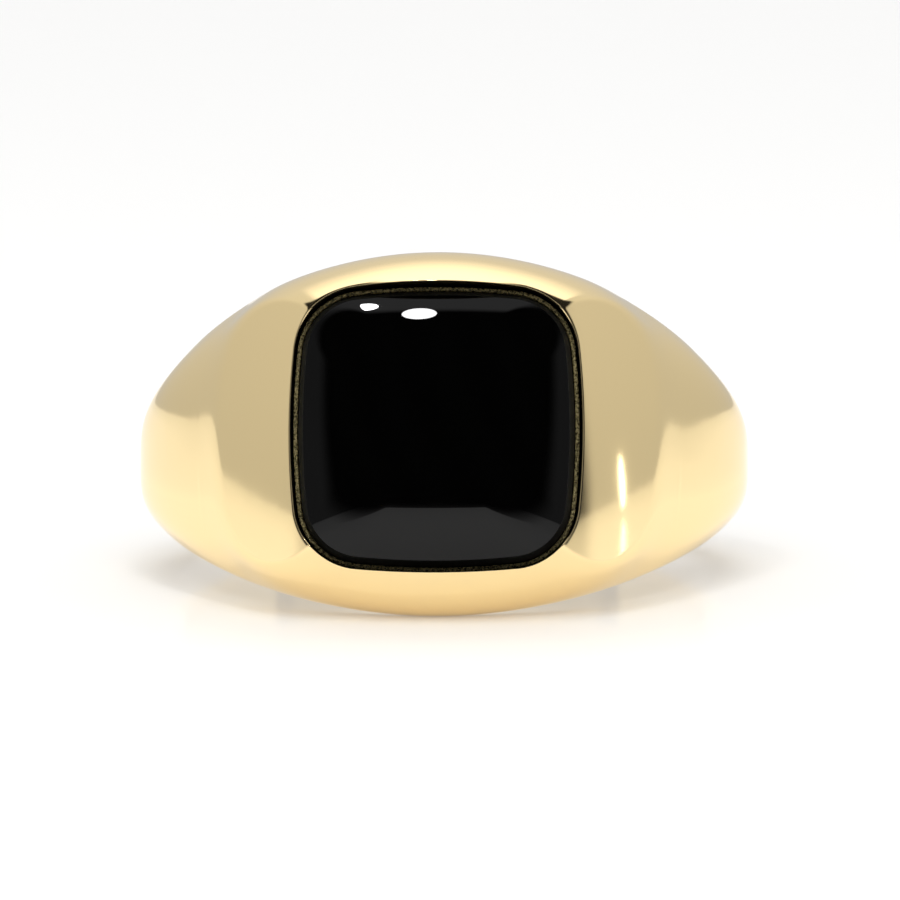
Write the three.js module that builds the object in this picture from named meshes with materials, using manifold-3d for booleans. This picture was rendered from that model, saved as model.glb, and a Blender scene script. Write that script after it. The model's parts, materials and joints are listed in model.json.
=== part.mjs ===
// A cushion signet ring lying on its side: a cast yellow gold body, a black onyx, the thin bezel that holds
// it and the cement bed under it. Millimetres, +Z up, the surface it lies on at Z = 0.
//
// The ring is first made in its own frame: the finger axis is z, the face looks along -y and x runs across.
// An angle round the finger axis is 0 at the middle of the face, a radius is measured from that axis, and a
// height is a distance from it towards the face. The finished ring is laid on its side, so that it rests on
// the lower edge of the head and the lower edge of the shank.
import * as THREE from "three";
import { ParametricGeometry } from "three/addons/geometries/ParametricGeometry.js";
import { mergeVertices } from "three/addons/utils/BufferGeometryUtils.js";
import Module from "manifold-3d";

const wasm = await Module();
wasm.setup();

// ---------------------------------------------------------------- finger hole and shank
const BORE_RADIUS = 9.7; // finger hole
const EDGE_ROUND = 0.35; // rounding between the finger hole and the sides
const SIDE_FLAT = 0.3; // height of the flat side wall, from that rounding outwards
const BACK_THICKNESS = 1.4; // shank opposite the face
const SIDE_THICKNESS = 1.74; // shank a quarter turn from the face
const BACK_HALF_WIDTH = 1.65; // half the shank's width along the finger, opposite the face
const RIM_WIDTH = 1.37; // gold above and below the recess, to the head's full width along the finger
const TAPER_END = 2.618; // angle, in radians, past which the shank keeps one width
const TAPER_POWER = 1.72; // how soon the width falls off from the head
const SHANK_SQUARENESS = 3.6; // exponents of the shank's domed section, across and up
const SHANK_FULLNESS = 0.95;

// ---------------------------------------------------------------- head
const HEAD_RISE = 2.4; // height of the uncut crown over the shank's own thickness
const HEAD_REACH = 0.66; // angle, in radians, at which that rise has halved
const HEAD_FALL = 9; // how quickly the rise dies away around that angle
const HEAD_SQUARENESS = 3.1; // exponents of the head's domed section, across and up
const HEAD_FULLNESS = 1.5;
const SHOULDER_RADIUS = 28; // gentle bow of the flat on each shoulder, from the stone towards the shank
const SHOULDER_CROSS_RADIUS = 40; // bow of the same flat along the finger
const SHOULDER_RISE = 2.4; // from the finger hole to the flat where it meets the recess
const SHOULDER_TILT = 0.76; // turn of the flat's normal from the face there, in radians
const RIDGE_START = 0.42; // angles, in radians, between which the ridge round the flat softens
const RIDGE_END = 1.08;
const RIDGE_BLEND_AT_STONE = 0.08; // height over which the ridge is rounded at its start
const RIDGE_BLEND_AT_SHANK = 0.8; // and at its end

// ---------------------------------------------------------------- stone and its setting
const STONE_WIDTH = 10; // calibrated cushion cut, as wide as it is long
const STONE_SIDE_RADIUS = 28; // each side of the cushion is a wide arc
const STONE_CORNER_RADIUS = 2.2;
const GIRDLE_HEIGHT = 1.25; // upright side of the stone
const BEVEL_WIDTH = 0.18; // ground bevel between the girdle and the polished crown
const BEVEL_HEIGHT = 0.44; // from the girdle to the crown over it
const CROWN_HEIGHT = 0.9; // polished dome over the bevel
const CROWN_POWER = 2.36; // the dome falls off as this power of the distance from its middle
const BEZEL_CLEARANCE = 0.03; // between the stone and the bezel
const BEZEL_THICKNESS = 0.16;
const BEZEL_LIP = 0.06; // height of the bezel over the stone's girdle
const RECESS_CLEARANCE = 0.09; // between the bezel and the wall of the recess
const LEDGE_THICKNESS = 0.7; // gold under the setting, from the finger hole at its thinnest
const LEDGE_WIDTH = 1.5;
const CEMENT_THICKNESS = 0.12;
const CEMENT_INSET = 0.3; // from the stone's outline, and from the edge of the ledge
const SEAT_GAP = 0.02; // under the bezel, under the cement and over it

// ---------------------------------------------------------------- fineness of the mesh
const STEPS_ROUND = 108;
const STEPS_ACROSS_OUTSIDE = 16;
const STEPS_IN_ROUNDING = 2;
const STEPS_IN_BORE = 4;
const STEPS_PER_CUSHION_SIDE = 4;
const STEPS_PER_CUSHION_CORNER = 6;
const STEPS_UP_CROWN = 7;
const LAYING_STEPS = 40;

const SIDE_RADIUS = BORE_RADIUS + EDGE_ROUND; // where the side wall starts
const DOME_RADIUS = SIDE_RADIUS + SIDE_FLAT; // where it ends and the domed outside starts
const BEZEL_OUTSET = BEZEL_CLEARANCE + BEZEL_THICKNESS;
const RECESS_OUTSET = BEZEL_OUTSET + RECESS_CLEARANCE;
const RECESS_HALF = STONE_WIDTH / 2 + RECESS_OUTSET;
const HEAD_HALF_WIDTH = RECESS_HALF + RIM_WIDTH;
const SHOULDER_HEIGHT = BORE_RADIUS + SHOULDER_RISE;
const LEDGE_HEIGHT = BORE_RADIUS + LEDGE_THICKNESS;
const CEMENT_BASE = LEDGE_HEIGHT + SEAT_GAP;
const STONE_BASE = CEMENT_BASE + CEMENT_THICKNESS + SEAT_GAP;
const ABOVE_HEAD = 2 * BORE_RADIUS; // higher than any part of the head
const QUARTER_TURN = Math.PI / 2;

const mix = (from, to, share) => from + (to - from) * share;

// ---------------------------------------------------------------- form of the body
// Share of the head's rise at an angle: 1 over the face, a half at HEAD_REACH and next to nothing behind.
function headShare(angle) {
  return 1 / (1 + (Math.abs(angle) / HEAD_REACH) ** HEAD_FALL);
}

function halfWidth(angle) {
  const share = Math.min(1, Math.abs(angle) / TAPER_END);
  return mix(BACK_HALF_WIDTH, HEAD_HALF_WIDTH, ((1 + Math.cos(share * Math.PI)) / 2) ** TAPER_POWER);
}

// The domed outside as a radius: a crown that falls to the side walls at the full width.
function domedRadius(angle, z) {
  const share = headShare(angle);
  const thickness = mix(BACK_THICKNESS, SIDE_THICKNESS, 1 + Math.cos(angle));
  const crown = thickness - EDGE_ROUND - SIDE_FLAT + HEAD_RISE * share;
  const across = Math.min(1, Math.abs(z) / halfWidth(angle));
  const squareness = mix(SHANK_SQUARENESS, HEAD_SQUARENESS, share);
  const fullness = mix(SHANK_FULLNESS, HEAD_FULLNESS, share);
  return DOME_RADIUS + crown * (1 - across ** squareness) ** (1 / fullness);
}

// The flat on each shoulder as a radius: a wide arc that starts at the side of the recess.
function shoulderRadius(angle, z) {
  const centreAcross = RECESS_HALF - SHOULDER_RADIUS * Math.sin(SHOULDER_TILT);
  const centreUp = SHOULDER_HEIGHT - SHOULDER_RADIUS * Math.cos(SHOULDER_TILT);
  const along = centreAcross * Math.sin(Math.abs(angle)) + centreUp * Math.cos(angle);
  const reach = Math.sqrt(along ** 2 - centreAcross ** 2 - centreUp ** 2 + SHOULDER_RADIUS ** 2);
  return along + reach - z ** 2 / (2 * SHOULDER_CROSS_RADIUS);
}

// The lower of the two surfaces, with the ridge between them rounded over a blend that grows along it.
function outerRadius(angle, z) {
  const dome = domedRadius(angle, z);
  const flat = shoulderRadius(angle, z);
  const softness = THREE.MathUtils.smoothstep(Math.abs(angle), RIDGE_START, RIDGE_END);
  const blend = mix(RIDGE_BLEND_AT_STONE, RIDGE_BLEND_AT_SHANK, softness);
  const meeting = Math.max(0, blend - Math.abs(dome - flat)) / blend;
  return Math.min(dome, flat) - (meeting ** 2 * blend) / 4;
}

// One closed section at an angle, as [radius, z] pairs: over the outside, down one side and back by the bore.
function section(angle) {
  const width = halfWidth(angle);
  const outside = [];
  for (let i = 0; i <= STEPS_ACROSS_OUTSIDE; i++) {
    const z = width * Math.sin((i / STEPS_ACROSS_OUTSIDE - 0.5) * Math.PI);
    outside.push([outerRadius(angle, z), z]);
  }
  const edge = [];
  for (let i = 0; i <= STEPS_IN_ROUNDING; i++) {
    const turn = (i / STEPS_IN_ROUNDING) * QUARTER_TURN;
    edge.push([SIDE_RADIUS - EDGE_ROUND * Math.sin(turn), width - EDGE_ROUND * (1 - Math.cos(turn))]);
  }
  const bore = [];
  for (let i = 1; i < STEPS_IN_BORE; i++) {
    bore.push([BORE_RADIUS, (width - EDGE_ROUND) * (1 - (2 * i) / STEPS_IN_BORE)]);
  }
  const otherEdge = edge.map(([radius, z]) => [radius, -z]).reverse();
  return [...outside, ...edge, ...bore, ...otherEdge];
}

// ---------------------------------------------------------------- cushion outlines
// Four wide side arcs joined by four corner arcs that touch them, offset outwards, as points of a plane.
function cushion(outset) {
  const sideCentre = STONE_WIDTH / 2 - STONE_SIDE_RADIUS;
  const between = STONE_SIDE_RADIUS - STONE_CORNER_RADIUS;
  const cornerCentre = (sideCentre + Math.sqrt(2 * between ** 2 - sideCentre ** 2)) / 2;
  const join = Math.atan2(cornerCentre, cornerCentre - sideCentre);
  const points = [];
  for (let i = 0; i < STEPS_PER_CUSHION_SIDE; i++) {
    const turn = mix(-join, join, i / STEPS_PER_CUSHION_SIDE);
    const radius = STONE_SIDE_RADIUS + outset;
    points.push(new THREE.Vector2(sideCentre + radius * Math.cos(turn), radius * Math.sin(turn)));
  }
  for (let i = 0; i < STEPS_PER_CUSHION_CORNER; i++) {
    const turn = mix(join, QUARTER_TURN - join, i / STEPS_PER_CUSHION_CORNER);
    const radius = STONE_CORNER_RADIUS + outset;
    const point = new THREE.Vector2(Math.cos(turn), Math.sin(turn));
    points.push(point.multiplyScalar(radius).addScalar(cornerCentre));
  }
  const middle = new THREE.Vector2();
  return [0, 1, 2, 3].flatMap((quarter) =>
    points.map((point) => point.clone().rotateAround(middle, quarter * QUARTER_TURN)),
  );
}

// ---------------------------------------------------------------- solids
function toSolid(geometry) {
  geometry.deleteAttribute("normal");
  geometry.deleteAttribute("uv");
  const merged = mergeVertices(geometry);
  const triangles = [];
  for (let i = 0; i < merged.index.count; i += 3) {
    const corners = [0, 1, 2].map((k) => merged.index.getX(i + k));
    if (new Set(corners).size === 3) {
      triangles.push(...corners);
    }
  }
  const vertProperties = merged.attributes.position.array;
  const triVerts = Uint32Array.from(triangles);
  return new wasm.Manifold(new wasm.Mesh({ numProp: 3, vertProperties, triVerts }));
}

function toGeometry(solid) {
  const mesh = solid.getMesh();
  const geometry = new THREE.BufferGeometry();
  geometry.setAttribute("position", new THREE.BufferAttribute(mesh.vertProperties, 3));
  geometry.setIndex(new THREE.BufferAttribute(mesh.triVerts, 1));
  geometry.computeVertexNormals();
  return geometry;
}

// A closed skin through a stack of outlines, each at its own height. The first and the last are closed over
// their middles.
function stacked(outlines) {
  const count = outlines[0].points.length;
  const rows = outlines.length + 1;
  const place = (u, v, target) => {
    const row = Math.round(v * rows);
    const onCap = row === 0 || row === rows;
    const { points, height } = outlines[THREE.MathUtils.clamp(row - 1, 0, outlines.length - 1)];
    const point = points[Math.round(u * count) % count];
    target.set(onCap ? 0 : point.x, -height, onCap ? 0 : point.y);
  };
  return toSolid(new ParametricGeometry(place, count, rows));
}

function prism(outset, bottom, top) {
  const points = cushion(outset);
  return stacked([
    { points, height: bottom },
    { points, height: top },
  ]);
}

// ---------------------------------------------------------------- sub-parts
function ringBody() {
  const count = section(0).length;
  const place = (u, v, target) => {
    const angle = mix(-Math.PI, Math.PI, u);
    const [radius, z] = section(angle)[Math.round(v * count) % count];
    target.set(radius * Math.sin(angle), -radius * Math.cos(angle), z);
  };
  const blank = toSolid(new ParametricGeometry(place, STEPS_ROUND, count));
  const recess = prism(RECESS_OUTSET, LEDGE_HEIGHT, ABOVE_HEAD);
  const gallery = prism(RECESS_OUTSET - LEDGE_WIDTH, 0, ABOVE_HEAD);
  return blank.subtract(recess).subtract(gallery);
}

function bezel() {
  const base = LEDGE_HEIGHT + SEAT_GAP;
  const top = STONE_BASE + GIRDLE_HEIGHT + BEZEL_LIP;
  return prism(BEZEL_OUTSET, base, top).subtract(prism(BEZEL_CLEARANCE, 0, ABOVE_HEAD));
}

function cementBed() {
  const top = CEMENT_BASE + CEMENT_THICKNESS;
  const inside = RECESS_OUTSET - LEDGE_WIDTH + CEMENT_INSET;
  return prism(-CEMENT_INSET, CEMENT_BASE, top).subtract(prism(inside, 0, ABOVE_HEAD));
}

// Girdle, ground bevel and a crown. Up the crown the cushion outline shrinks and turns into a circle.
function onyxStone() {
  const girdle = cushion(0);
  const polished = cushion(-BEVEL_WIDTH);
  const girdleTop = STONE_BASE + GIRDLE_HEIGHT;
  const outlines = [
    { points: girdle, height: STONE_BASE },
    { points: girdle, height: girdleTop },
  ];
  const reach = polished.reduce((sum, point) => sum + point.length(), 0) / polished.length;
  for (let i = 0; i < STEPS_UP_CROWN; i++) {
    const share = 1 - i / STEPS_UP_CROWN;
    const scale = (point) => share * mix(reach / point.length(), 1, share);
    const points = polished.map((point) => point.clone().multiplyScalar(scale(point)));
    const rise = CROWN_HEIGHT * (1 - share ** CROWN_POWER);
    outlines.push({ points, height: girdleTop + BEVEL_HEIGHT + rise });
  }
  return stacked(outlines);
}

// ---------------------------------------------------------------- laying the ring on its side
// The turn at which the lower edge of the head and the lower edge of the shank are level, found by halving.
function layingTurn(geometry) {
  const position = geometry.attributes.position;
  const lowest = (turn, sign) => {
    let low = Infinity;
    for (let i = 0; i < position.count; i++) {
      const forward = -position.getY(i);
      if (forward * sign > 0) {
        low = Math.min(low, position.getZ(i) * Math.cos(turn) + forward * Math.sin(turn));
      }
    }
    return low;
  };
  let [flatter, steeper] = [0, QUARTER_TURN / 2];
  for (let i = 0; i < LAYING_STEPS; i++) {
    const turn = (flatter + steeper) / 2;
    if (lowest(turn, 1) < lowest(turn, -1)) {
      flatter = turn;
    } else {
      steeper = turn;
    }
  }
  return (flatter + steeper) / 2;
}

// ---------------------------------------------------------------- assembly
function material(color, roughness, metalness) {
  return new THREE.MeshStandardMaterial({ color, roughness, metalness });
}

function part(name, solid, finish) {
  const mesh = new THREE.Mesh(toGeometry(solid), finish);
  mesh.name = name;
  return mesh;
}

const body = part("ring_body", ringBody(), material(0xf2d89f, 0.08, 1));
const ring = new THREE.Group();
ring.add(body);
ring.add(part("bezel", bezel(), material(0xcdb878, 0.4, 1)));
ring.add(part("cement_bed", cementBed(), material(0x3a352c, 0.6, 0)));
ring.add(part("onyx_stone", onyxStone(), material(0x050505, 0.03, 0)));
ring.rotation.x = -layingTurn(body.geometry);

const extent = new THREE.Box3().setFromObject(ring, true);
ring.position.set(0, -(extent.min.y + extent.max.y) / 2, -extent.min.z);

const group = new THREE.Group();
group.add(ring);

export default group;
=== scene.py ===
"""Cushion signet ring with a black onyx, lying on its side.

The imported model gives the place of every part. This file replaces each of its faceted solids by a fine
surface of the same shape, gives it a material and sets up a small white studio round it.

All shapes are worked out in the ring's own frame, in metres: the finger axis is z, the face looks
along -y and x runs across. An angle round the finger axis is 0 at the middle of the face, a radius is
measured from that axis, and a height is a distance from it towards the face.
"""

import json
import math

import bpy
import numpy as np
from bpy.props import FloatProperty, FloatVectorProperty, PointerProperty
from mathutils import Matrix, Vector


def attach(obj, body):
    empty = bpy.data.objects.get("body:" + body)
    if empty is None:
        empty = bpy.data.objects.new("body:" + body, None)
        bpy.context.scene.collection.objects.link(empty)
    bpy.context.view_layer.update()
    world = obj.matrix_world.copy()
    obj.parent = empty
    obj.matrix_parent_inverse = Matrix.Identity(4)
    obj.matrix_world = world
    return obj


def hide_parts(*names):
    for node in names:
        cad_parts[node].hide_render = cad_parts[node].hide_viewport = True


bl_info = {
    "name": "Cushion signet ring",
    "version": (1, 0, 0),
    "blender": (4, 5, 0),
    "location": "View3D > Sidebar > Signet ring",
    "description": "Builds the polished parts of a signet ring and a studio around them",
    "category": "Add Mesh",
}

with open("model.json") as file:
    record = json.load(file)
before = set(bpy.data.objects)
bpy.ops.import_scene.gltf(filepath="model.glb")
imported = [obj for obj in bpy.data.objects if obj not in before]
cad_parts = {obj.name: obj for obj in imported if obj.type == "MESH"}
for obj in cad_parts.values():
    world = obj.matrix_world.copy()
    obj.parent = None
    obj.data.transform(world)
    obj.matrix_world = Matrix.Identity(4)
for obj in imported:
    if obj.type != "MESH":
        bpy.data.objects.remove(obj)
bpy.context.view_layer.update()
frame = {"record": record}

MM = 0.001
QUARTER_TURN = math.pi / 2

# How finely the surfaces are divided.
HEAD_STEP = math.radians(0.6)  # between two sections of the head
BACK_STEP = math.radians(1.6)  # between two sections of the shank behind it
HEAD_END = math.radians(84)
HOLE_HALF_ANGLE = math.radians(27.1)  # space round the recess, left by the grid to a fitted patch
HOLE_HALF_SHARE = 0.7  # half height of that space, as a share of the section
BORE_HOLE_SHARE = 0.75  # and of the space round the gallery window on the finger side
ROWS_INSIDE_RIDGE = 36
ROWS_OUTSIDE_RIDGE = 22
ROW_CROWDING = 1.35  # rows crowd towards the ridge by this power
ROWS_IN_ARRIS = 5
ROWS_IN_ROUNDING = 7
ROWS_IN_BORE = 28
PATCH_RINGS = 12
OUTLINE_SAMPLES = 400
STONE_STEPS_ROUND = 320
STONE_STEPS_UP = 48
STONE_GROUND_ROWS = 8  # rows of faces on the girdle and the bevel
BEVEL_START = 0.04  # share of the bevel that is left to its crisp lower edge
CEMENT_STEPS_ROUND = 240
STONE_BASE_ROW = STONE_GROUND_ROWS + STONE_STEPS_UP - 1  # first row of faces under the stone
DOME_ROUND_SHARE = 0.6  # share of the way out at which the dome has become a cushion
BEZEL_STEPS_ROUND = 900
BEZEL_UNEVEN_TOP = 0.03 * MM
BEZEL_UNEVEN_SIDE = 0.008 * MM
SHARP_ANGLE = 38  # degrees past which an edge is crisp

# Sizes of the patterns in the surfaces.
WEAR = 3 * MM  # patches of finer and duller polish
PEEL, PEEL_HEIGHT = 1.5 * MM, 0.0012 * MM  # orange peel that the buff leaves
INVESTMENT_GRAIN = 0.1 * MM
FILE_MARK = 0.09 * MM  # tears of the file, as wide as they are deep
ONYX_BAND = 6 * MM
WHEEL_GRIT = 0.08 * MM
FILLER_GRAIN = 0.1 * MM
ONYX_IOR = 1.54

# Studio.
FLOOR_HALF = 3
# Painted light: the floor glows of itself between these distances from the ring.
GLOW_START, GLOW_END = -20 * MM, 40 * MM  # the glow rises with distance between these, partly lit at 0
# The front opening is a dark sheet seen only in reflections, a painted dark reflection, which fades out
# towards its edge.
FRONT_DISTANCE = 50 * MM  # dark opening in the front of the tent, where the camera looks in
FRONT_HALF_WIDTH = 48 * MM
FRONT_HALF_HEIGHT = 48 * MM
FRONT_MIDDLE = 42 * MM
FRONT_FADE = 0.84  # share of the way out from which its cloth thins
FRONT_CORNERS = 64
TENT_FRONT = (0.17, 0.5)  # brightness of the tent's front, low and high, as shares of its bright sheet
FRONT_RISE = (0.6, 0.9)  # sines of the elevations between which the low front turns into the high one
FRONT_EDGES = (-0.12, -0.2)  # y of a direction where the front starts, and where it is whole
TENT_LOW, TENT_HIGH = 0.36, 0.47  # brightness of the sides at the floor and high up
TENT_TURN = 0.64  # sine of the elevation at which they are as bright as they get
SHEET_EDGES = (0.15, 0.11)  # edges of the bright sheet behind, sideways, soft between the two
SHEET_LEAN = 0.39  # by which it widens with height
SHEET_FOOT = (0.55, 0.95)  # sines of the elevations between which it starts
SEAM_LEAN = 0.64  # how far back the dark gap of the ceiling reaches, times the cube of the height
SEAM_EDGES = (0, -0.06)  # soft edge of that gap at the back
SEAM_SIDES = (0.2, 0.3)  # sideways, where the gap starts to open on both sides of the middle
SEAM_LIGHT = 0.01
OVERHEAD = (0, 42, 500 * MM, 400 * MM, 400 * MM)  # azimuth, elevation, distance, width and height
LAMPS = [  # name, the same five values and share of the lamp power
    ("left_lamp", (-13.2, 59.9, 65 * MM, 2.2 * MM, 3 * MM), 1),
    ("middle_lamp", (-4.5, 57.4, 65 * MM, 3.1 * MM, 4.8 * MM), 1),
    ("right_lamp", (92, 3, 150 * MM, 3 * MM, 12 * MM), 0.2),
]


# --- settings
def length(name, millimetres, description):
    """A length property whose default is given in millimetres."""
    return FloatProperty(
        name=name,
        description=description,
        default=millimetres * MM,
        min=0,
        unit="LENGTH",
        precision=5,
    )


def angle(name, radians, description):
    return FloatProperty(
        name=name, description=description, default=radians, subtype="ANGLE"
    )


def number(name, value, description):
    return FloatProperty(name=name, description=description, default=value, min=0)


def linear(code):
    """An sRGB hex colour as linear red, green and blue."""
    parts = np.array([int(code[at : at + 2], 16) for at in (1, 3, 5)]) / 255
    return tuple(np.where(parts <= 0.04045, parts / 12.92, ((parts + 0.055) / 1.055) ** 2.4))


def colour(name, code, description):
    return FloatVectorProperty(
        name=name,
        description=description,
        default=linear(code),
        size=3,
        min=0,
        max=1,
        subtype="COLOR",
    )


class ShankSizes(bpy.types.PropertyGroup):
    """The band: finger hole, side walls and domed outside."""

    bore_radius: length("Finger hole", 9.7, "Radius of the finger hole")
    edge_round: length("Comfort edge", 0.35, "Rounding between the finger hole and the sides")
    side_flat: length("Side flat", 0.3, "Height of the flat side wall over that rounding")
    back_thickness: length("Back thickness", 1.4, "Shank opposite the face")
    side_thickness: length("Side thickness", 1.74, "Shank a quarter turn from the face")
    back_half_width: length("Back half width", 1.65, "Half the shank's width opposite the face")
    taper_end: angle("Taper end", 2.618, "Angle past which the shank keeps one width")
    taper_power: number("Taper power", 1.72, "How soon the width falls off from the head")
    squareness: number("Squareness", 3.6, "Exponent across the shank's domed section")
    fullness: number("Fullness", 0.95, "Exponent up the shank's domed section")
    arris: length("Arris", 0.2, "Softened corner between the side wall and the outside")


class HeadSizes(bpy.types.PropertyGroup):
    """The head: its crown and the flats cut on its shoulders."""

    rim_width: length("Rim", 1.37, "Gold above and below the recess")
    rise: length("Rise", 2.4, "Height of the uncut crown over the shank's own thickness")
    reach: angle("Reach", 0.66, "Angle at which that rise has halved")
    fall: number("Fall", 9, "How quickly the rise dies away around that angle")
    squareness: number("Squareness", 3.1, "Exponent across the head's domed section")
    fullness: number("Fullness", 1.5, "Exponent up the head's domed section")
    arris: length("Arris", 0.02, "Softened corner between the side wall and the outside")
    shoulder_radius: length("Shoulder bow", 28, "Bow of each shoulder flat towards the shank")
    shoulder_cross_radius: length("Cross bow", 40, "Bow of the same flat along the finger")
    shoulder_rise: length("Shoulder rise", 2.4, "From the finger hole to the flat at the recess")
    shoulder_tilt: angle("Shoulder tilt", 0.76, "Turn of the flat from the face there")
    ridge_start: angle("Ridge start", 0.42, "Angle at which the ridge starts to soften")
    ridge_end: angle("Ridge end", 1.08, "Angle at which it is softest")
    ridge_sharp: length("Crisp ridge", 0.08, "Height over which the ridge is rounded first")
    ridge_soft: length("Soft ridge", 0.8, "Height over which it is rounded at its end")
    mouth_round: length("Mouth round", 0.05, "Polished-over edge at the mouth of the recess")


class SettingSizes(bpy.types.PropertyGroup):
    """The onyx and what holds it."""

    stone_width: length("Stone", 10, "Width of the cushion stone, and its length")
    side_radius: length("Side arc", 28, "Radius of each side of the cushion")
    corner_radius: length("Corner", 2.2, "Radius of each corner of the cushion")
    girdle_height: length("Girdle", 1.25, "Upright side of the stone")
    bevel_width: length("Bevel", 0.18, "Ground bevel round the polished crown")
    bevel_height: length("Bevel height", 0.44, "From the girdle to the crown, over that bevel")
    crown_height: length("Crown", 0.9, "Polished dome over the bevel")
    crown_power: number("Crown power", 2.36, "Power of the distance by which the dome falls off")
    bezel_clearance: length("Bezel clearance", 0.03, "Between the stone and the bezel")
    bezel_thickness: length("Bezel", 0.16, "Thickness of the strip that holds the stone")
    bezel_lip: length("Bezel lip", 0.06, "Height of that strip over the stone's girdle")
    recess_clearance: length("Recess clearance", 0.09, "Between the bezel and the recess wall")
    ledge_thickness: length("Ledge", 0.7, "Gold under the setting, from the finger hole")
    ledge_width: length("Ledge width", 1.5, "From the recess wall to the gallery window")
    cement_thickness: length("Cement", 0.12, "Bed of cement under the stone")
    cement_inset: length("Cement inset", 0.3, "From the stone's outline to the cement")
    seat_gap: length("Seat gap", 0.02, "Under the bezel, under the cement and over it")


class Finishes(bpy.types.PropertyGroup):
    """Colours and polish."""

    gold: colour("Gold", "#FFE6AF", "Polished yellow gold")
    gold_roughness: number("Gold roughness", 0.07, "Roughness of the polished gold")
    cut_gold: colour("Cut gold", "#E6D59A", "Gold of the bezel, as the graver left it")
    # painted shade: a dark gold that stands in for the shade inside the recess
    shaded_recess_gold: colour("Shaded recess gold", "#2A2213", "Recess gold darkened as painted shade")
    onyx: colour("Onyx", "#020202", "Body of the stone")
    ground_onyx: colour("Ground onyx", "#1A1A18", "Matt girdle and bevel of the stone")
    onyx_roughness: number("Onyx roughness", 0.012, "Roughness of the polished dome")
    cement: colour("Cement", "#3A352C", "Jeweller's cement")
    floor: colour("Floor", "#F7F6F4", "White acrylic sheet")
    # painted light: the floor's own glow, rising away from the ring
    floor_painted_glow: number("Floor painted glow", 0.32, "Painted glow of the sheet, rising away from the ring")


class StudioSizes(bpy.types.PropertyGroup):
    """Camera and light."""

    distance: length("Distance", 285, "From the camera to the middle of the finger hole")
    below_face: angle("Below face", math.radians(6.02), "Camera below the face's own normal")
    to_the_right: angle("To the right", math.radians(1.39), "Camera to the right of that normal")
    lens: number("Lens", 302, "Focal length on a 36 mm sensor, in millimetres")
    aim_right: length("Aim right", 0.213, "Point aimed at, right of the finger hole's middle")
    aim_up: length("Aim up", 0.5, "Point aimed at, above the finger hole's middle")
    tent_light: number("Tent light", 1.6, "Light of the tent where it is brightest")
    floor_light: number("Floor light", 1.2, "Power of the overhead light on the floor, in watts")
    lamp_power: number("Lamp power", 0.0017, "Power of each small lamp, in watts")


GROUPS = {
    "ring_shank": ShankSizes,
    "ring_head": HeadSizes,
    "ring_setting": SettingSizes,
    "ring_finish": Finishes,
    "ring_studio": StudioSizes,
}


# --- numbers
def mix(start, end, share):
    return start + (end - start) * share


def smoothstep(value, start, end):
    share = np.clip((value - start) / (end - start), 0, 1)
    return share * share * (3 - 2 * share)


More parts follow.
